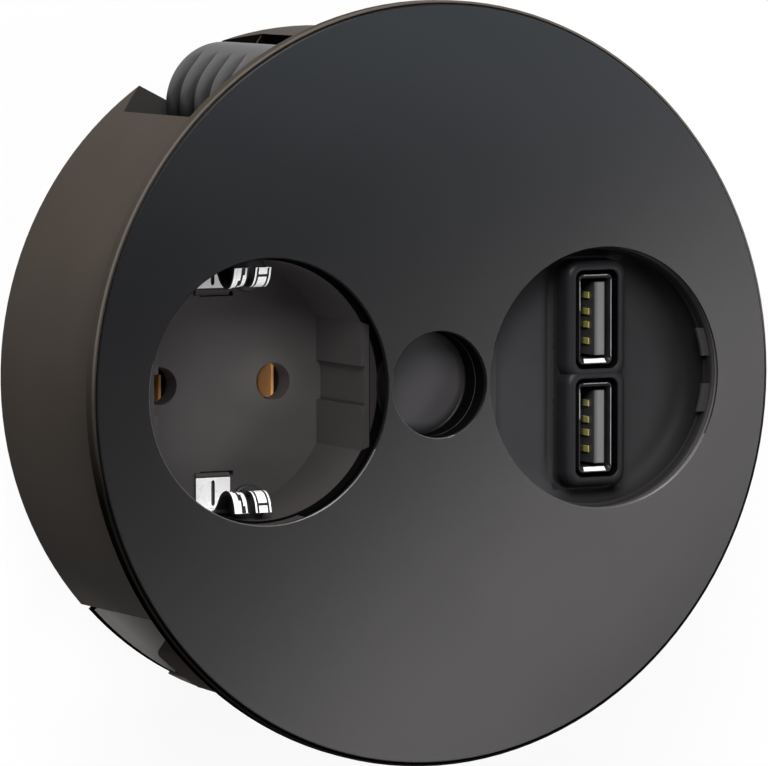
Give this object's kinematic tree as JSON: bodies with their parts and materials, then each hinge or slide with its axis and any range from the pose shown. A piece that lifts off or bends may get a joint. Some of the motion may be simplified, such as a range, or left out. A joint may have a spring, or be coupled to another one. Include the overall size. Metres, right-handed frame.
{
  "type": "recessed desk socket",
  "caption": "Round recessed desk socket with an earthed mains pot, charging ports, a turning cover disc, eccentric clamps and a side cable inlet.",
  "frame": {"origin": "on the round body's axis, level with the desk surface under the flange", "axes": "+Z out of the desk along the body's axis, +X from the mains pot to the charging ports, +Y to the picture's top"},
  "size_m": [0.115, 0.115, 0.0423],
  "materials": {
    "cover_plastic": "fine satin, slightly rough moulded plastic",
    "flange_plastic": "satin moulded plastic",
    "insert_plastic": "satin moulded plastic",
    "can_plastic": "satin moulded plastic",
    "clamp_plastic": "grey moulded plastic",
    "lug_plastic": "satin moulded plastic",
    "glide_plastic": "slippery pale plastic",
    "carrier_plastic": "matte heat-resistant plastic",
    "gland_rubber": "matte rubber",
    "screw_steel": "zinc-plated steel",
    "spindle_steel": "turned steel",
    "clip_steel": "polished spring metal",
    "contact_brass": "bare rolled brass",
    "cage_steel": "zinc-plated steel",
    "shell_steel": "drawn plated steel",
    "tongue_plastic": "dark moulded plastic",
    "pad_gold": "thin gold plating",
    "board_laminate": "green lacquered laminate",
    "transformer_wrap": "yellow tape over ferrite",
    "capacitor_sleeve": "dark shrink sleeve",
    "choke_ferrite": "sintered ferrite",
    "chip_plastic": "moulded epoxy"
  },
  "bodies": {
    "base": {"flange_deck": "flange_plastic", "glide_ring": "glide_plastic", "friction_ring": "glide_plastic", "deck_screws": "screw_steel", "insert_screws": "screw_steel", "housing_can": "can_plastic", "rear_cover": "can_plastic", "rear_cover_screws": "screw_steel", "cable_gland": "gland_rubber", "locating_lug": "lug_plastic", "lug_screw": "screw_steel", "socket_insert": "insert_plastic", "earth_clip_upper": "clip_steel", "earth_clip_lower": "clip_steel", "earth_bridge": "contact_brass", "contact_carrier": "carrier_plastic", "pin_contact_left": "contact_brass", "pin_contact_right": "contact_brass", "terminal_cage_left": "cage_steel", "terminal_cage_right": "cage_steel", "terminal_cage_earth": "cage_steel", "terminal_screws": "screw_steel", "port_frame": "insert_plastic", "port_dish": "insert_plastic", "port_shell_upper": "shell_steel", "port_shell_lower": "shell_steel", "port_tongue_upper": "tongue_plastic", "port_tongue_lower": "tongue_plastic", "port_contacts_upper": "pad_gold", "port_contacts_lower": "pad_gold", "charger_board": "board_laminate", "board_screws": "screw_steel", "charger_transformer": "transformer_wrap", "charger_capacitors": "capacitor_sleeve", "charger_choke": "choke_ferrite", "charger_chips": "chip_plastic"},
    "cover": {"cover_disc": "cover_plastic", "hub_cup": "cover_plastic", "hub_retainer": "screw_steel", "hub_screw": "screw_steel"},
    "clamp_upper": {"clamp_cam_upper": "clamp_plastic", "clamp_spindle_upper": "spindle_steel"},
    "clamp_lower": {"clamp_cam_lower": "clamp_plastic", "clamp_spindle_lower": "spindle_steel"}
  },
  "joints": [
    {"name": "cover_turn", "type": "hinge", "parent": "base", "child": "cover", "pos_m": [0, 0, 0], "axis": [0, 0, 1], "range_deg": [0, 90]},
    {"name": "clamp_upper_turn", "type": "hinge", "parent": "base", "child": "clamp_upper", "pos_m": [-0.0155, 0.0396, 0], "axis": [0, 0, 1], "range_deg": [-38, 100]},
    {"name": "clamp_lower_turn", "type": "hinge", "parent": "base", "child": "clamp_lower", "pos_m": [0.0155, -0.0396, 0], "axis": [0, 0, 1], "range_deg": [-38, 100]}
  ]
}
